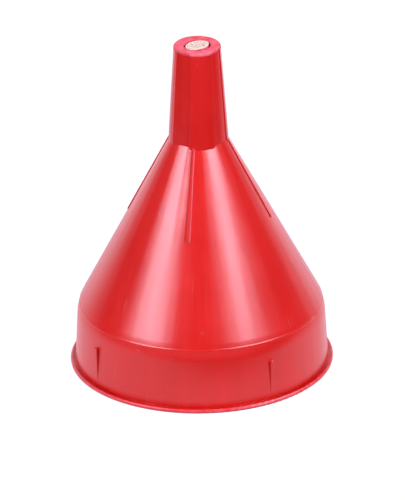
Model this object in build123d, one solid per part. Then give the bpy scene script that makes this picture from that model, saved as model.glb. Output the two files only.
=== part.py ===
"""Plastic funnel, standing on the rim of its mouth with the spout pointing up.

Frame: origin at the centre of the mouth's rim plane, +Z along the funnel's axis towards the tip.
-Y is the side with the vent rib that is nearest to the front. All sizes are in millimetres.
Three nodes: the one-piece moulded funnel, and the strainer that pushes into its tip (a moulded
thimble and the disc of gauze that is welded on its slanted top edge).
"""
from build123d import *
from math import atan, cos, degrees, radians, sin, sqrt, tan
import os

# Overall size
HEIGHT = 215.9
TIP_Z = 214.9
RIM_R = 82.55

# Mouth: a flat flange under an almost straight band
FLANGE_T = 2.7
BAND_FOOT_R = 79.4
BAND_FOOT_Z = FLANGE_T
BAND_TOP_R = 77.5
BAND_TOP_Z = 38.9
FLANGE_FILLET = 0.3
FLANGE_EDGE_FILLET = 1.1
MOUTH_FILLET = 0.8

# Shoulder between band and cone, with a raised witness line round it
SHOULDER_R = 28.0
WITNESS_Z = 40.1
WITNESS_R = 1.6
WITNESS_RISE = 0.11

# Cone and spout
SPOUT_FOOT_R = 18.8
SPOUT_FOOT_Z = 151.3
TIP_R = 14.75
TIP_FILLET = 1.1
WALL = 1.8
CONE_OVERLAP = 2.0
LIP_SPARE = 0.05

# Flutes of the spout: four lands, each with one steep side and one gently ramped side
FLUTES = 4
STEP_START = -20.5
LAND_START = -17.0
LAND_END = 31.0
RAMP_END = 42.0
FLUTE_DEPTH_TIP = 0.6
FLUTE_DEPTH_FOOT = 0.75
FLUTE_BURIED_Z = 144.0

# Vent ribs on the cone
RIBS = 4
RIB_AZIMUTH = -10.0
RIB_TOP_Z = 154.0
RIB_END_Z = 100.5
RIB_TOP_WIDTH = 1.5
RIB_END_WIDTH = 3.0
RIB_RISE = 0.55
RIB_FILLET = 0.25

# Stacking lugs on the band: wedges that are proud at the top and run out at the flange
LUGS = 4
LUG_AZIMUTH = -56.5
LUG_TOP_Z = 28.2
LUG_FOOT_Z = 4.6
LUG_TOP_RISE = 1.9
LUG_WIDTH = 2.6
LUG_BURIED = 1.0
LUG_FILLET = 0.35

# Bore of the spout, and the socket in the tip that the strainer pushes into
BORE_FOOT_R = 14.9
BORE_TOP_R = 7.5
BORE_FOOT_FILLET = 3.0
SOCKET_R = 8.5
SOCKET_DEPTH = 12.0
SOCKET_LIP_FILLET = 0.35

# Strainer: a collar that fills the socket, a narrower neck to grip it by, and gauze on the neck's
# slanted end, which is highest at one azimuth
STRAINER_CLEARANCE = 0.05
COLLAR_H = 9.5
COLLAR_FILLET = 0.4
NECK_R = 7.3
THROAT_R = 6.0
THROAT_CHAMFER = 0.3
GAUZE_T = 0.5
GAUZE_SLANT = 8.0
GAUZE_HIGH_AZIMUTH = 68.0

SOCKET_FLOOR_Z = TIP_Z - SOCKET_DEPTH
STRAINER_H = HEIGHT - SOCKET_FLOOR_Z
GAUZE_Z = HEIGHT - NECK_R * sin(radians(GAUZE_SLANT)) - GAUZE_T * cos(radians(GAUZE_SLANT))
CONE_SLOPE = (BAND_TOP_R - SPOUT_FOOT_R) / (SPOUT_FOOT_Z - BAND_TOP_Z)
BAND_SLOPE = (BAND_FOOT_R - BAND_TOP_R) / (BAND_TOP_Z - BAND_FOOT_Z)
SPOUT_SLOPE = (SPOUT_FOOT_R - TIP_R) / (TIP_Z - SPOUT_FOOT_Z)


def cone_r(z):
    """Outer radius of the cone at height z."""
    return BAND_TOP_R - CONE_SLOPE * (z - BAND_TOP_Z)


def band_r(z):
    """Outer radius of the band at height z."""
    return BAND_TOP_R + BAND_SLOPE * (BAND_TOP_Z - z)


def spout_r(z):
    """Radius of the spout's lands at height z."""
    return SPOUT_FOOT_R - SPOUT_SLOPE * (z - SPOUT_FOOT_Z)


def ring_point(radius, z, azimuth):
    """Point at a radius and height; azimuth 0 is -Y, and grows towards +X."""
    turn = radians(azimuth)
    return (radius * sin(turn), -radius * cos(turn), z)


def revolved(points):
    """Solid of revolution of a closed outline given as (radius, z) points."""
    outline = Polyline(*[(r, 0, z) for r, z in points], close=True)
    return revolve(make_face(outline), Axis.Z)


def fillet_circle(solid, z, radius, size):
    """Round every circular edge of a solid that lies at one height and radius."""
    edges = [
        edge
        for edge in solid.edges().filter_by(GeomType.CIRCLE)
        if abs(edge.radius - radius) < 0.01 and abs(edge.arc_center.Z - z) < 0.01
    ]
    return fillet(edges, size)


def cone_outside():
    """Flange, band and cone as one solid lump, closed where the spout grows out of it."""
    top_z = SPOUT_FOOT_Z + CONE_OVERLAP
    lump = revolved(
        [
            (0, 0),
            (RIM_R, 0),
            (RIM_R, FLANGE_T),
            (BAND_FOOT_R, BAND_FOOT_Z),
            (BAND_TOP_R, BAND_TOP_Z),
            (cone_r(top_z), top_z),
            (0, top_z),
        ]
    )
    lump = fillet_circle(lump, BAND_TOP_Z, BAND_TOP_R, SHOULDER_R)
    lump = fillet_circle(lump, BAND_FOOT_Z, BAND_FOOT_R, FLANGE_FILLET)
    lump = fillet_circle(lump, FLANGE_T, RIM_R, FLANGE_EDGE_FILLET)
    return fillet_circle(lump, 0, RIM_R, FLANGE_EDGE_FILLET)


def shoulder_r(z):
    """Outer radius on the rounded shoulder at height z, between its two tangent points."""
    cone_angle = atan(CONE_SLOPE)
    band_angle = atan(BAND_SLOPE)
    reach = SHOULDER_R * tan((cone_angle - band_angle) / 2)
    band_z = BAND_TOP_Z - reach * cos(band_angle)
    centre_r = band_r(band_z) - SHOULDER_R * cos(band_angle)
    centre_z = band_z - SHOULDER_R * sin(band_angle)
    return centre_r + sqrt(SHOULDER_R**2 - (z - centre_z) ** 2)


def witness_line():
    """Low rounded ridge round the shoulder."""
    centre_r = shoulder_r(WITNESS_Z) + WITNESS_RISE - WITNESS_R
    section = Plane.XZ * Pos(centre_r, WITNESS_Z) * Circle(WITNESS_R)
    return revolve(section, Axis.Z)


def flute_section(land_radius, depth, z):
    """Outline of the spout at one height: each land has a steep side and a ramp down to a flute."""
    floor_radius = land_radius - depth
    pitch = 360 / FLUTES
    edges = []
    for number in range(FLUTES):
        turn = number * pitch
        edges.append(
            ThreePointArc(
                ring_point(land_radius, z, LAND_START + turn),
                ring_point(land_radius, z, (LAND_START + LAND_END) / 2 + turn),
                ring_point(land_radius, z, LAND_END + turn),
            )
        )
        edges.append(Line(edges[-1] @ 1, ring_point(floor_radius, z, RAMP_END + turn)))
        edges.append(
            ThreePointArc(
                ring_point(floor_radius, z, RAMP_END + turn),
                ring_point(floor_radius, z, (RAMP_END + STEP_START + pitch) / 2 + turn),
                ring_point(floor_radius, z, STEP_START + pitch + turn),
            )
        )
        edges.append(Line(edges[-1] @ 1, ring_point(land_radius, z, LAND_START + pitch + turn)))
    return make_face(Wire(edges))


def tip_envelope():
    """Everything under the rounded lip of the tip; only its rounded top corner cuts the spout."""
    tall = TIP_Z - FLUTE_BURIED_Z
    foot_r = spout_r(FLUTE_BURIED_Z)
    envelope = Pos(0, 0, FLUTE_BURIED_Z) * Cone(
        foot_r + LIP_SPARE, TIP_R + LIP_SPARE, tall, align=(Align.CENTER, Align.CENTER, Align.MIN)
    )
    return fillet_circle(envelope, TIP_Z, TIP_R + LIP_SPARE, TIP_FILLET)


def spout_outside():
    """Tapered fluted spout as a solid lump, with the lip of the tip rounded."""
    foot = flute_section(spout_r(FLUTE_BURIED_Z), FLUTE_DEPTH_FOOT, FLUTE_BURIED_Z)
    tip = flute_section(TIP_R, FLUTE_DEPTH_TIP, TIP_Z)
    return loft([foot, tip], ruled=True) & tip_envelope()


def vent_rib():
    """One rib that lies along the cone and widens away from the spout."""
    slant = degrees(atan(CONE_SLOPE))
    sections = []
    for z, width in ((RIB_TOP_Z, RIB_TOP_WIDTH), (RIB_END_Z, RIB_END_WIDTH)):
        across = Plane(origin=(0, -cone_r(z), z), x_dir=(1, 0, 0), z_dir=(0, CONE_SLOPE, 1))
        sections.append(across * Rectangle(width, 2 * RIB_RISE))
    rib = loft(sections, ruled=True)
    outward = Vector(0, -cos(radians(slant)), sin(radians(slant)))
    along = [edge for edge in rib.edges() if edge.length > RIB_END_WIDTH]
    proud = sorted(along, key=lambda edge: edge.center().dot(outward))[-2:]
    return fillet(proud, RIB_FILLET)


def stacking_lug():
    """One wedge on the band: proud towards the spout and nothing at the flange."""
    side = Polyline(
        (0, -(band_r(LUG_TOP_Z) - LUG_BURIED), LUG_TOP_Z),
        (0, -(band_r(LUG_TOP_Z) + LUG_TOP_RISE), LUG_TOP_Z),
        (0, -band_r(LUG_FOOT_Z), LUG_FOOT_Z),
        (0, -(band_r(LUG_FOOT_Z) - LUG_BURIED), LUG_FOOT_Z),
        close=True,
    )
    lug = extrude(make_face(side), LUG_WIDTH / 2, both=True, dir=(1, 0, 0))
    edges = [edge for edge in lug.edges() if edge.center().Y < -(band_r(LUG_TOP_Z) + LUG_FILLET)]
    return fillet(edges, LUG_FILLET)


def placed_round(shape, count, azimuth):
    """Copies of a shape made at azimuth 0, spread evenly round the axis."""
    return [Rot(0, 0, azimuth + number * 360 / count) * shape for number in range(count)]


def bowl_inside():
    """Space inside the mouth, the cone and the spout's bore, up to the socket's floor."""
    radial_wall = WALL / cos(atan(CONE_SLOPE))
    band_in_top = BAND_TOP_R - WALL
    band_in_foot = BAND_FOOT_R - WALL
    corner_z = BAND_TOP_Z - (radial_wall - WALL) / CONE_SLOPE
    bore_foot_z = BAND_TOP_Z + (BAND_TOP_R - radial_wall - BORE_FOOT_R) / CONE_SLOPE
    space = revolved(
        [
            (0, 0),
            (band_in_foot, 0),
            (band_in_top, corner_z),
            (BORE_FOOT_R, bore_foot_z),
            (BORE_TOP_R, SOCKET_FLOOR_Z),
            (0, SOCKET_FLOOR_Z),
        ]
    )
    space = fillet_circle(space, corner_z, band_in_top, SHOULDER_R - WALL)
    return fillet_circle(space, bore_foot_z, BORE_FOOT_R, BORE_FOOT_FILLET)


def socket_space():
    """Round socket in the tip, open at the top."""
    return standing(rod(SOCKET_R, SOCKET_DEPTH), SOCKET_FLOOR_Z)


def funnel_body():
    """The whole one-piece moulding."""
    body = cone_outside() + witness_line() + spout_outside()
    for rib in placed_round(vent_rib(), RIBS, RIB_AZIMUTH):
        body += rib
    for lug in placed_round(stacking_lug(), LUGS, LUG_AZIMUTH):
        body += lug
    body = body - bowl_inside() - socket_space()
    body = fillet_circle(body, TIP_Z, SOCKET_R, SOCKET_LIP_FILLET)
    return fillet_circle(body, 0, BAND_FOOT_R - WALL, MOUTH_FILLET)


def standing(shape, z):
    """A shape built on its own base, moved up to height z."""
    return Pos(0, 0, z) * shape


def rod(radius, tall):
    """Cylinder that stands on the origin."""
    return Cylinder(radius, tall, align=(Align.CENTER, Align.CENTER, Align.MIN))


def gauze_plane():
    """Plane of the gauze's lower face; its own x direction points up the slope."""
    turn = radians(GAUZE_SLANT)
    uphill = Vector(*ring_point(cos(turn), sin(turn), GAUZE_HIGH_AZIMUTH))
    upward = Vector(*ring_point(-sin(turn), cos(turn), GAUZE_HIGH_AZIMUTH))
    return Plane(origin=(0, 0, GAUZE_Z), x_dir=uphill, z_dir=upward)


def strainer_gauze():
    """Round disc of gauze in its own slanted plane."""
    return gauze_plane() * rod(NECK_R, GAUZE_T)


def strainer_thimble():
    """Open-ended thimble: collar, neck, and a slanted end that the gauze is welded on."""
    collar_r = SOCKET_R - STRAINER_CLEARANCE
    collar = standing(rod(collar_r, COLLAR_H), SOCKET_FLOOR_Z)
    neck = standing(rod(NECK_R, STRAINER_H), SOCKET_FLOOR_Z)
    throat = standing(rod(THROAT_R, STRAINER_H), SOCKET_FLOOR_Z)
    above_gauze = gauze_plane() * rod(SOCKET_R, SOCKET_DEPTH)
    thimble = fillet_circle(collar, SOCKET_FLOOR_Z + COLLAR_H, collar_r, COLLAR_FILLET)
    thimble = thimble + neck - throat - above_gauze
    bottom_edge = thimble.edges().filter_by(GeomType.CIRCLE).sort_by(Axis.Z)[:2]
    return chamfer(bottom_edge, THROAT_CHAMFER)


def main():
    os.makedirs("parts", exist_ok=True)
    nodes = {
        "funnel_body": funnel_body(),
        "strainer_thimble": strainer_thimble(),
        "strainer_gauze": strainer_gauze(),
    }
    for name, shape in nodes.items():
        export_step(shape, f"parts/{name}.step")
        print(name, round(shape.volume, 1), "mm3")


if __name__ == "__main__":
    main()
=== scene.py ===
"""Red plastic funnel with a push-in strainer, on a plain white studio floor. Metres, in the CAD frame."""
import math
import random

import bpy
from mathutils import Matrix, Quaternion, Vector


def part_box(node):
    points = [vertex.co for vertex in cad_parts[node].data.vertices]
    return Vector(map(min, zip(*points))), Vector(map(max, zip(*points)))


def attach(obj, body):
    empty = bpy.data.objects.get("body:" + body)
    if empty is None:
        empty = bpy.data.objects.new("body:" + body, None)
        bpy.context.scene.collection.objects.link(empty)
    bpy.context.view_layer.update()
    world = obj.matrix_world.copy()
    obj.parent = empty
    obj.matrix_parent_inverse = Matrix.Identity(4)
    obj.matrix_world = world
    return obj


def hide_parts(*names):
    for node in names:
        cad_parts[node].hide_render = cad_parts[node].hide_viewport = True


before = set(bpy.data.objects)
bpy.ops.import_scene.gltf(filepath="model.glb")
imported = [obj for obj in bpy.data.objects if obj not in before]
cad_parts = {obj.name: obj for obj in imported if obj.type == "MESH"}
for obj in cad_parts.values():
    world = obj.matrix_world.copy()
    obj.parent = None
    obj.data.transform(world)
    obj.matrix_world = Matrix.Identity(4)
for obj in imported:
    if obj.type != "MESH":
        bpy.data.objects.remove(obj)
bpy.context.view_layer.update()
scene = bpy.context.scene

# Camera: a long lens a little above the funnel; FRAME_PIXELS is the longer side of the picture
FRAME_PIXELS = 500
FOCAL_PIXELS = 10372
SENSOR_MM = 36
CAMERA_DISTANCE = 6.5
ELEVATION = math.radians(25.0)
ROLL = math.radians(0.9)
AIM = Vector((0.0014, 0.0, 0.0743))

# Softboxes, placed and sized by the angles in degrees that they are seen at from LIGHT_AIM
LIGHT_AIM = Vector((0, 0, 0.1))
COOL_WHITE = (0.97, 1.0, 1.17)
SOFTBOXES = {
    "left": dict(azimuth=-55, elevation=35, width=28, height=34, radiance=16, distance=1.3),
    "right": dict(azimuth=54, elevation=39, width=40, height=29, radiance=16, distance=0.85, lean=26),
    "top": dict(azimuth=0, elevation=80, width=40, height=16, radiance=2.5, distance=0.9),
    "front": dict(azimuth=0, elevation=-1, width=90, height=17, radiance=0.6, distance=1.6),
}

# Room: plain white to the camera; to all else it is dark in front and brightens towards the back.
# Each end is a direction's part towards the back, 0 sideways and 1 straight back, and the colour there.
SEEN_STRENGTH = 1.05
WALL_STRENGTH = 1.7
DARK_END = (0.35, (0.02, 0.02, 0.022, 1))
BRIGHT_END = (0.82, (0.97, 1.0, 1.1, 1))

# Floor board: its near edge runs slantwise, further out on the left
BOARD_CORNERS = ((-0.35, -0.27, 0), (0.35, -0.035, 0), (0.35, 0.45, 0), (-0.35, 0.45, 0))
BOARD_LOW_GREY = (0.095, 0.095, 0.095)
BOARD_HIGH_GREY = (0.105, 0.105, 0.105)
BOARD_GLOW = (1, 1, 1.12, 1)
BOARD_GLOW_STRENGTH = 0.86

# Colours; the strainer's red is a lighter copy of the funnel's, painted light that stands in for the
# light its thin walls pass on
FUNNEL_RED = (0.392, 0.004, 0.0026)
STRAINER_RED_PAINTED_LIGHT = (0.6, 0.03, 0.035)
# Pale red of real wear, scratches, dust and scuffs, also laid on as painted highlight on the tip's face,
# the flange's edge and the rib's right side
PALE_RED_WEAR_AND_HIGHLIGHT = (0.5, 0.125, 0.165)
# Painted light: the gap round the gauze is painted a brighter red, standing in for light that the
# moulding passes on inside the tip
SOCKET_RED_PAINTED_LIGHT = (0.45, 0.035, 0.055)
THREAD_CREAM = (0.5, 0.385, 0.3)
BLACK = (0.0, 0.0, 0.0)

# Finish of the plastic where nothing has marked it
ROUGHNESS_LOW = 0.27
ROUGHNESS_HIGH = 0.33
GLOSS = 0.5
SHEEN = 0.22
SHEEN_ROUGHNESS = 0.35
SHEEN_TINT = (1.0, 0.3, 0.4, 1)

# Parts of the funnel that its marks follow
RIM_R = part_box("funnel_body")[1].x
TIP_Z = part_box("funnel_body")[1].z
FLANGE_Z = 0.0027
BAND_FOOT_R = 0.0794
SOCKET_R = 0.0085
# Painted shade: cone and spout are painted a little darker than the band; the change runs over this span
# of heights
SHOULDER_Z = (0.036, 0.046)
ABOVE_BAND_PAINTED_SHADE = 0.07
# Front vent rib: azimuth in degrees, lower and upper end, and half its width at each
RIB_AZIMUTH = -10
RIB_END_Z, RIB_TOP_Z = 0.1005, 0.154
RIB_END_HALF, RIB_TOP_HALF = 0.0015, 0.00075
# Scuffs on the funnel: place, size, amount
SCUFFS = (
    ((-0.0242, -0.0294, 0.1144), 0.0030, 1.0),
    ((0.0136, -0.0334, 0.1183), 0.0016, 0.5),
    ((-0.0054, -0.0194, 0.1487), 0.0024, 0.8),
    ((0.0010, -0.0714, 0.0506), 0.0022, 0.6),
    ((0.0330, 0.0420, 0.0900), 0.0060, 0.8),
    ((-0.0750, 0.0200, 0.0250), 0.0060, 0.7),
)

# Weave of the gauze; THREAD_WANDER is in parts of the pitch, and THREAD_END_IN is how far in from the
# disc's edge the threads end
THREAD_PITCH = 0.00042
THREAD_R = 0.00011
THREAD_SIDES = 6
THREAD_FLATNESS = 0.9
THREAD_WANDER = 0.04
THREAD_END_IN = 0.00042
WEAVE_RISE = 0.0001
STEPS_PER_PITCH = 4
LEAST_STEPS = 6
# Welded ring round the gauze: how far in from its edge, and height in halves of the disc's thickness
RING_PROFILE = ((0.0007, -0.7), (0.0007, 0.55), (0.00056, 0.9), (0.00014, 0.9),
                (0.00002, 0.6), (0.00002, -0.9), (0.00049, -0.9))
RING_TURNS = 96


def direction(azimuth, elevation):
    """Unit vector; azimuth 0 is towards -Y and grows towards +X."""
    a, e = math.radians(azimuth), math.radians(elevation)
    return Vector((math.sin(a) * math.cos(e), -math.cos(a) * math.cos(e), math.sin(e)))


def scaled(colour, amount):
    """Lighter or darker colour of the same hue."""
    return tuple(channel * amount for channel in colour)


class Material:
    """A material's node tree, built up with short calls."""

    def __init__(self, name, base, roughness, ior=1.49):
        self.material = bpy.data.materials.new(name)
        self.material.use_nodes = True
        self.tree = self.material.node_tree
        self.surface = self.tree.nodes["Principled BSDF"]
        self.set("Base Color", (*base, 1))
        self.set("Roughness", roughness)
        self.set("IOR", ior)
        self.place = self.tree.nodes.new("ShaderNodeTexCoord").outputs["Object"]

    def put(self, socket, value):
        """Link a socket to another, or set it to a constant."""
        if isinstance(value, bpy.types.NodeSocket):
            self.tree.links.new(value, socket)
        else:
            socket.default_value = value

    def set(self, name, value):
        """Give one of the shader's own sockets its value."""
        self.put(self.surface.inputs[name], value)

    def math(self, operation, a, b=0.0, clamp=False):
        node = self.tree.nodes.new("ShaderNodeMath")
        node.operation = operation
        node.use_clamp = clamp
        self.put(node.inputs[0], a)
        self.put(node.inputs[1], b)
        return node.outputs[0]

    def plus(self, a, b, clamp=False):
        return self.math("ADD", a, b, clamp)

    def minus(self, a, b):
        return self.math("SUBTRACT", a, b)

    def times(self, first, *others):
        for other in others:
            first = self.math("MULTIPLY", first, other)
        return first

    def most(self, first, *others):
        """Largest of several values."""
        for other in others:
            first = self.math("MAXIMUM", first, other)
        return first

    def vector(self, operation, a, b=(0, 0, 0)):
        node = self.tree.nodes.new("ShaderNodeVectorMath")
        node.operation = operation
        self.put(node.inputs[0], a)
        self.put(node.inputs[1], b)
        return node.outputs["Value" if operation in ("LENGTH", "DISTANCE", "DOT_PRODUCT") else "Vector"]

    def combine(self, x, y, z):
        node = self.tree.nodes.new("ShaderNodeCombineXYZ")
        for socket, value in zip(node.inputs, (x, y, z)):
            self.put(socket, value)
        return node.outputs[0]

    def split(self, vector):
        node = self.tree.nodes.new("ShaderNodeSeparateXYZ")
        self.put(node.inputs[0], vector)
        return node.outputs[0], node.outputs[1], node.outputs[2]

    def noise(self, vector, scale, detail=3.0, roughness=0.55):
        node = self.tree.nodes.new("ShaderNodeTexNoise")
        self.put(node.inputs["Vector"], vector)
        node.inputs["Scale"].default_value = scale
        node.inputs["Detail"].default_value = detail
        node.inputs["Roughness"].default_value = roughness
        return node.outputs["Fac"]

    def cells(self, vector, scale):
        """Distance to the middle of the nearest cell, and that cell's own random colour."""
        node = self.tree.nodes.new("ShaderNodeTexVoronoi")
        self.put(node.inputs["Vector"], vector)
        node.inputs["Scale"].default_value = scale
        return node.outputs["Distance"], node.outputs["Color"]

    def remap(self, value, low, high, new_low, new_high):
        """Value taken smoothly from one span to another, and held at its ends."""
        node = self.tree.nodes.new("ShaderNodeMapRange")
        node.interpolation_type = "SMOOTHSTEP"
        for socket, number in zip(node.inputs, (value, low, high, new_low, new_high)):
            self.put(socket, number)
        return node.outputs[0]

    def rise(self, value, low, high):
        """Mask that goes from 0 to 1 over a span of the value."""
        return self.remap(value, low, high, 0.0, 1.0)

    def fall(self, value, low, high):
        """Mask that goes from 1 to 0 over a span of the value."""
        return self.remap(value, low, high, 1.0, 0.0)

    def mix(self, factor, a, b):
        """Mix of two colours."""
        node = self.tree.nodes.new("ShaderNodeMix")
        node.data_type = "RGBA"
        self.put(node.inputs["Factor"], factor)
        for name, value in (("A", a), ("B", b)):
            socket = [s for s in node.inputs if s.name == name and s.type == "RGBA"][0]
            self.put(socket, (*value, 1) if isinstance(value, tuple) else value)
        return [s for s in node.outputs if s.type == "RGBA"][0]

    def over(self, under, colour, mask, amount):
        """Colour laid over another where a mask says so."""
        return self.mix(self.times(mask, amount), under, colour)

    def bump(self, height, distance, under=None):
        """Relief whose full height is a distance in metres, on top of another relief."""
        node = self.tree.nodes.new("ShaderNodeBump")
        node.inputs["Strength"].default_value = 1.0
        node.inputs["Distance"].default_value = distance
        self.put(node.inputs["Height"], height)
        if under is not None:
            self.put(node.inputs["Normal"], under)
        return node.outputs[0]


class FunnelMaterial(Material):
    """Material with masks that follow the funnel's shape."""

    def __init__(self, name, base, roughness):
        super().__init__(name, base, roughness)
        x, y, self.z = self.split(self.place)
        flat = self.combine(x, y, 0.0)
        self.radius = self.vector("LENGTH", flat)
        self.out_x, self.out_y, _ = self.split(self.vector("NORMALIZE", flat))

    def on_skin(self, around, along):
        """Place on the funnel's skin, scaled round it and along it."""
        return self.combine(self.times(self.out_x, around), self.times(self.out_y, around),
                            self.times(self.z, along))

    def scratches(self):
        """Fine scratches round the funnel and along it, broken up by a slow noise."""
        round_it = self.rise(self.noise(self.on_skin(26.0, 1100.0), 1.0, 1.0), 0.72, 0.78)
        along_it = self.rise(self.noise(self.on_skin(90.0, 30.0), 1.0, 1.0), 0.71, 0.77)
        patches = self.rise(self.noise(self.place, 60.0, 2.0), 0.5, 0.62)
        return self.times(self.most(round_it, along_it), patches)

    def dust(self):
        """Dust and tiny nicks: a dot in one cell out of five."""
        distance, cell_colour = self.cells(self.place, 210.0)
        size = self.remap(self.split(cell_colour)[0], 0.8, 1.0, 0.0, 0.085)
        return self.rise(self.minus(size, distance), 0.0, 0.03)

    def tip_face(self):
        """Top of the tip with its rounded edges."""
        return self.rise(self.z, TIP_Z - 0.0021, TIP_Z - 0.0007)

    def rubbed_and_highlit(self, tip_face):
        """Rubbed edges: the face of the tip and the edge of the flange, worn and also made paler as
        painted highlight.
        """
        flange = self.rise(self.radius, RIM_R - 0.00135, RIM_R - 0.00015)
        patches = self.remap(self.noise(self.place, 170.0, 4.0, 0.65), 0.3, 0.75, 0.2, 0.75)
        return self.times(self.most(self.times(tip_face, 2.2), flange), patches)

    def flange_edge(self):
        """Outer edge of the flange, below its top."""
        outside = self.rise(self.radius, RIM_R - 0.00115, RIM_R - 0.00045)
        return self.times(outside, self.fall(self.z, FLANGE_Z + 0.0003, FLANGE_Z + 0.0007))

    def corner(self):
        """Corner between the band and the flange, where painted shade darkens the colour and cuts the
        specular and sheen.
        """
        low = self.fall(self.z, FLANGE_Z + 0.0009, FLANGE_Z + 0.0048)
        short_of_edge = self.fall(self.radius, RIM_R - 0.00135, RIM_R - 0.00065)
        outside = self.rise(self.radius, BAND_FOOT_R - 0.0011, BAND_FOOT_R - 0.0004)
        patches = self.remap(self.noise(self.place, 90.0, 3.0), 0.2, 0.6, 0.75, 1.0)
        return self.times(low, short_of_edge, outside, patches)

    def socket(self):
        """Upper part of the socket and what stands in it, painted a brighter red there as painted light.
        """
        inside = self.fall(self.radius, SOCKET_R - 0.0001, SOCKET_R + 0.0003)
        return self.times(inside, self.rise(self.z, TIP_Z - 0.0064, TIP_Z - 0.0054))

    def rib_sides(self):
        """Lines down the left and the right side of the front vent rib: painted shade on the left, a
        painted highlight on the right.
        """
        beside = self.vector("DOT_PRODUCT", self.place, direction(RIB_AZIMUTH + 90, 0))
        outward = self.vector("DOT_PRODUCT", self.place, direction(RIB_AZIMUTH, 0))
        half_width = self.remap(self.z, RIB_END_Z, RIB_TOP_Z, RIB_END_HALF, RIB_TOP_HALF)
        above_end = self.rise(self.z, RIB_END_Z - 0.0005, RIB_END_Z + 0.0005)
        below_top = self.fall(self.z, RIB_TOP_Z - 0.004, RIB_TOP_Z - 0.001)
        on_rib = self.times(self.rise(outward, 0.0, 0.004), above_end, below_top)
        off_left = self.math("ABSOLUTE", self.plus(beside, half_width))
        off_right = self.math("ABSOLUTE", self.minus(beside, half_width))
        left = self.times(self.fall(off_left, 0.0002, 0.0008), on_rib)
        right = self.times(self.fall(off_right, 0.0001, 0.0004), on_rib)
        return left, right

    def scuffs(self, spots):
        """Hatched scuffs, each with its place, size and amount."""
        hatch_place = self.vector("MULTIPLY", self.place, (420.0, 420.0, 1500.0))
        hatch = self.rise(self.noise(hatch_place, 1.0, 2.0), 0.46, 0.6)
        mask = 0.0
        for spot, size, amount in spots:
            near = self.remap(self.vector("DISTANCE", self.place, spot), size * 0.35, size, amount, 0.0)
            mask = self.most(mask, self.times(near, hatch))
        return mask


def moulded_plastic(name, colour, pale, spots=()):
    """Satin moulded plastic: flow streaks, grain, fine scratches, dust, rubbed edges and a few scuffs,
    with painted highlights on the tip, the flange's edge and the rib, and painted shade above the band,
    in the corner at the flange and along the rib.
    """
    m = FunnelMaterial(name, colour, ROUGHNESS_LOW)

    # Streaks that run along the funnel, from the gate at the tip down to the rim, and soft clouds
    streak_place = m.on_skin(1.0, 1.6)
    streaks = m.noise(streak_place, 9.0, 4.0, 0.6)
    fine_streaks = m.noise(m.on_skin(1.0, 0.5), 42.0, 3.0, 0.6)
    cloud = m.noise(m.place, 26.0, 4.0, 0.6)
    mottle = m.noise(m.place, 240.0, 3.0, 0.6)

    tip_face, edge, corner = m.tip_face(), m.flange_edge(), m.corner()
    scratches, scuffs = m.scratches(), m.scuffs(spots)
    left_side, rib_highlight = m.rib_sides()
    # Painted shade along the rib's left side; its right side gets a painted highlight below
    painted_rib_shade = m.times(left_side, 0.9)

    # Colour, from the moulding itself to what use has left on it, with painted shade and painted
    # highlights laid in
    shade = m.plus(m.times(streaks, 0.5), m.times(cloud, 0.5))
    body = m.mix(m.rise(shade, 0.34, 0.66), scaled(colour, 0.94), scaled(colour, 1.06))
    body = m.over(body, scaled(colour, 1.06), m.rise(mottle, 0.3, 0.75), amount=0.16)
    # Painted shade: cone and spout darker than the band
    body = m.over(body, BLACK, m.rise(m.z, *SHOULDER_Z), amount=ABOVE_BAND_PAINTED_SHADE)
    # Painted shade on the flange's top, in the corner below the band
    ledge = m.times(corner, m.fall(m.z, FLANGE_Z + 0.0001, FLANGE_Z + 0.0007))
    body = m.over(body, BLACK, ledge, amount=0.28)
    # Painted light: brighter red in the socket round the gauze
    body = m.over(body, SOCKET_RED_PAINTED_LIGHT, m.socket(), amount=0.8)
    body = m.over(body, scaled(colour, 0.4), painted_rib_shade, amount=0.45)
    body = m.over(body, scaled(pale, 0.45), scuffs, amount=0.6)
    # Pale marks: real scratches and dust, with rubbed edges and the rib's right line that are partly
    # painted highlight
    wear_and_highlight = m.most(m.times(m.rubbed_and_highlit(tip_face), 0.45), m.times(scratches, 0.22),
                  m.times(rib_highlight, 0.5), m.times(m.dust(), 0.5))
    m.set("Base Color", m.mix(wear_and_highlight, body, pale))

    # Finish: marks are rougher; as painted shade the corner and the flange's edge lose specular and sheen
    # and the rib's left line loses specular; the face of the tip is dull, loses sheen too, and has its
    # highlight painted into its colour
    uneven = m.plus(m.times(cloud, 0.5), m.times(fine_streaks, 0.5))
    rough = m.remap(uneven, 0.3, 0.7, ROUGHNESS_LOW, ROUGHNESS_HIGH)
    marked = m.most(wear_and_highlight, scuffs, m.times(tip_face, 1.5))
    m.set("Roughness", m.plus(rough, m.times(marked, 0.3), clamp=True))
    gloss = m.minus(m.minus(GLOSS, m.times(corner, 0.38)), m.times(edge, 0.12))
    specular_cut = m.times(m.most(painted_rib_shade, tip_face), 0.8)
    m.set("Specular IOR Level", m.times(gloss, m.minus(1.0, specular_cut)))
    m.set("Sheen Weight", m.minus(SHEEN, m.times(m.most(edge, corner, tip_face), 0.17)))
    m.set("Sheen Roughness", SHEEN_ROUGHNESS)
    m.set("Sheen Tint", SHEEN_TINT)

    # Relief: slow waves of the flow, fine streaks, grain, and scratches and scuffs cut into it
    normal = m.bump(m.noise(streak_place, 5.0, 1.0), 0.0003)
    normal = m.bump(fine_streaks, 0.000008, normal)
    normal = m.bump(m.noise(m.place, 2600.0, 2.0, 0.6), 0.000012, normal)
    normal = m.bump(m.times(m.most(scratches, scuffs), -1.0), 0.00003, normal)
    m.set("Normal", normal)
    return m.material


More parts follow.
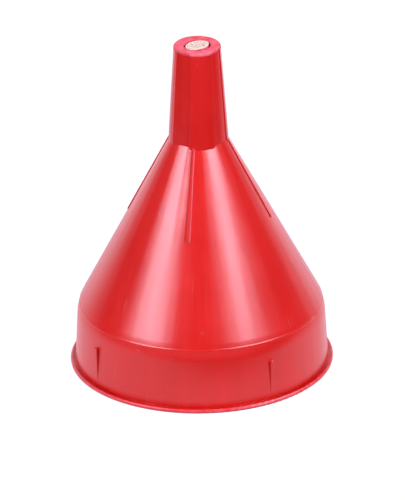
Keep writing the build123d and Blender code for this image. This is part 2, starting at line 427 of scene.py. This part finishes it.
def nylon_thread(name, colour):
    """Cream thread with faint dirt in it."""
    m = Material(name, colour, 0.5, 1.53)
    dirt = m.rise(m.noise(m.place, 420.0, 4.0, 0.6), 0.38, 0.68)
    m.set("Base Color", m.over(colour, scaled(colour, 0.78), dirt, amount=0.35))
    m.set("Normal", m.bump(m.noise(m.place, 6000.0, 2.0), 0.00001))
    return m.material


def white_board(name):
    """Matt white board with a faint tooth, lit a little from within."""
    m = Material(name, BOARD_LOW_GREY, 0.9)
    tone = m.rise(m.noise(m.place, 30.0, 4.0, 0.6), 0.3, 0.7)
    m.set("Base Color", m.mix(tone, BOARD_LOW_GREY, BOARD_HIGH_GREY))
    m.set("Normal", m.bump(m.noise(m.place, 900.0, 3.0), 0.00003))
    m.set("Emission Color", BOARD_GLOW)
    m.set("Emission Strength", BOARD_GLOW_STRENGTH)
    return m.material


class Disc:
    """Middle, directions, radius and half the thickness of a CAD disc that lies on a slant."""

    def __init__(self, node):
        corners = [node.matrix_world @ v.co for v in node.data.vertices]
        self.centre = sum(corners, Vector()) / len(corners)
        up = Vector()
        for polygon in node.data.polygons:
            normal = (node.matrix_world.to_3x3() @ polygon.normal).normalized()
            if normal.z > 0.9:
                up += normal * polygon.area
        self.up = up.normalized()
        self.across = self.up.cross(Vector((1, 0, 0))).normalized()
        self.along = self.across.cross(self.up)
        reach = [corner - self.centre for corner in corners]
        self.half = max(abs(r.dot(self.up)) for r in reach)
        self.radius = max((r - self.up * r.dot(self.up)).length for r in reach)


def add_thread(verts, faces, points, side, up):
    """Round tube through points; side and up span its cross section."""
    start = len(verts)
    for point in points:
        for k in range(THREAD_SIDES):
            a = 2 * math.pi * k / THREAD_SIDES
            sideways = side * (math.cos(a) * THREAD_R)
            verts.append(point + sideways + up * (math.sin(a) * THREAD_R * THREAD_FLATNESS))
    for i in range(len(points) - 1):
        a, b = start + i * THREAD_SIDES, start + (i + 1) * THREAD_SIDES
        for k in range(THREAD_SIDES):
            n = (k + 1) % THREAD_SIDES
            faces.append((a + k, a + n, b + n, b + k))


def add_weave(verts, faces, disc):
    """Two crossing families of threads that pass over and under each other."""
    rng = random.Random(7)
    count = int(2 * disc.radius / THREAD_PITCH)
    field = disc.radius - THREAD_END_IN
    families = ((disc.along, disc.across, WEAVE_RISE), (disc.across, disc.along, -WEAVE_RISE))
    for family, (run_way, side_way, rise) in enumerate(families):
        for i in range(count):
            offset = (i - (count - 1) / 2) * THREAD_PITCH
            if abs(offset) > field - THREAD_R:
                continue
            run = math.sqrt(field**2 - offset**2)
            wander = rng.uniform(-THREAD_WANDER, THREAD_WANDER) * THREAD_PITCH
            middle = disc.centre + side_way * (offset + wander)
            steps = max(LEAST_STEPS, int(2 * run / THREAD_PITCH * STEPS_PER_PITCH))
            points = []
            for j in range(steps + 1):
                t = -run + 2 * run * j / steps
                phase = math.pi * (t / THREAD_PITCH + i + family) + math.pi / 2 * (count % 2)
                points.append(middle + run_way * t + disc.up * (math.cos(phase) * rise))
            add_thread(verts, faces, points, side_way, disc.up)


def add_ring(verts, faces, disc):
    """Welded ring round the edge: a flat band with rounded corners."""
    start, size = len(verts), len(RING_PROFILE)
    for i in range(RING_TURNS):
        a = 2 * math.pi * i / RING_TURNS
        out = disc.along * math.cos(a) + disc.across * math.sin(a)
        for inward, height in RING_PROFILE:
            verts.append(disc.centre + out * (disc.radius - inward) + disc.up * (height * disc.half))
    for i in range(RING_TURNS):
        a, b = start + i * size, start + (i + 1) % RING_TURNS * size
        for k in range(size):
            n = (k + 1) % size
            faces.append((a + k, b + k, b + n, a + n))


def woven_gauze(material):
    """Plain weave of round threads on a welded ring, in place of the CAD disc and inside its box."""
    disc = Disc(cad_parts["strainer_gauze"])
    verts, faces = [], []
    add_weave(verts, faces, disc)
    add_ring(verts, faces, disc)
    mesh = bpy.data.meshes.new("woven_gauze")
    mesh.from_pydata([tuple(v) for v in verts], [], faces)
    for polygon in mesh.polygons:
        polygon.use_smooth = True
    mesh.materials.append(material)
    gauze = bpy.data.objects.new("woven_gauze", mesh)
    scene.collection.objects.link(gauze)
    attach(gauze, "strainer")
    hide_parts("strainer_gauze")


def add_camera():
    """Camera in front of the funnel, looking at AIM from ELEVATION, leaning by ROLL."""
    camera = bpy.data.objects.new("camera", bpy.data.cameras.new("camera"))
    scene.collection.objects.link(camera)
    camera.data.sensor_width = SENSOR_MM
    camera.data.lens = FOCAL_PIXELS * SENSOR_MM / FRAME_PIXELS
    camera.data.clip_end = 100
    back = Vector((0, -math.cos(ELEVATION), math.sin(ELEVATION)))
    turn = (-back).to_track_quat("-Z", "Y").to_matrix().to_4x4() @ Matrix.Rotation(-ROLL, 4, "Z")
    camera.matrix_world = Matrix.Translation(AIM + back * CAMERA_DISTANCE) @ turn
    scene.camera = camera


def softbox(name, azimuth, elevation, width, height, radiance, distance, lean=0):
    """Rectangular light, placed and sized by the angles it is seen at; lean tips its top towards +X."""
    light = bpy.data.objects.new(name, bpy.data.lights.new(name, "AREA"))
    scene.collection.objects.link(light)
    light.data.shape = "RECTANGLE"
    light.data.size = 2 * distance * math.tan(math.radians(width / 2))
    light.data.size_y = 2 * distance * math.tan(math.radians(height / 2))
    light.data.energy = radiance * light.data.size * light.data.size_y * math.pi
    light.data.color = COOL_WHITE
    light.location = LIGHT_AIM + direction(azimuth, elevation) * distance
    light.rotation_mode = "QUATERNION"
    aimed = (LIGHT_AIM - light.location).to_track_quat("-Z", "Y")
    light.rotation_quaternion = aimed @ Quaternion((0, 0, 1), math.radians(lean))
    light.visible_camera = False


def room():
    """Bright wall behind the funnel and a dark room in front; plain white to the camera."""
    world = bpy.data.worlds.new("room")
    scene.world = world
    world.use_nodes = True
    nodes, links = world.node_tree.nodes, world.node_tree.links
    seen = nodes["Background"]
    seen.inputs["Color"].default_value = (1, 1, 1, 1)
    seen.inputs["Strength"].default_value = SEEN_STRENGTH
    walls = nodes.new("ShaderNodeBackground")
    coord = nodes.new("ShaderNodeTexCoord")
    split = nodes.new("ShaderNodeSeparateXYZ")
    ramp = nodes.new("ShaderNodeValToRGB")
    links.new(coord.outputs["Generated"], split.inputs[0])
    links.new(split.outputs["Y"], ramp.inputs[0])
    for element, (position, colour) in zip(ramp.color_ramp.elements, (DARK_END, BRIGHT_END)):
        element.position = position
        element.color = colour
    links.new(ramp.outputs["Color"], walls.inputs["Color"])
    walls.inputs["Strength"].default_value = WALL_STRENGTH
    path = nodes.new("ShaderNodeLightPath")
    mix = nodes.new("ShaderNodeMixShader")
    links.new(path.outputs["Is Camera Ray"], mix.inputs[0])
    links.new(walls.outputs[0], mix.inputs[1])
    links.new(seen.outputs[0], mix.inputs[2])
    links.new(mix.outputs[0], nodes["World Output"].inputs["Surface"])


def board(material):
    """Finite white board that the funnel stands on."""
    mesh = bpy.data.meshes.new("floor")
    mesh.from_pydata(BOARD_CORNERS, [], [(0, 1, 2, 3)])
    mesh.materials.append(material)
    floor = bpy.data.objects.new("floor", mesh)
    scene.collection.objects.link(floor)


add_camera()
room()
for box_name, angles in SOFTBOXES.items():
    softbox(box_name, **angles)
board(white_board("white_board"))

funnel_plastic = moulded_plastic("red_plastic", FUNNEL_RED, PALE_RED_WEAR_AND_HIGHLIGHT, SCUFFS)
# The strainer's lighter red is painted light
strainer_plastic = moulded_plastic("dark_red_plastic", STRAINER_RED_PAINTED_LIGHT, PALE_RED_WEAR_AND_HIGHLIGHT)
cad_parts["funnel_body"].data.materials[0] = funnel_plastic
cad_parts["strainer_thimble"].data.materials[0] = strainer_plastic
woven_gauze(nylon_thread("nylon_thread", THREAD_CREAM))

scene.view_settings.view_transform = "Standard"
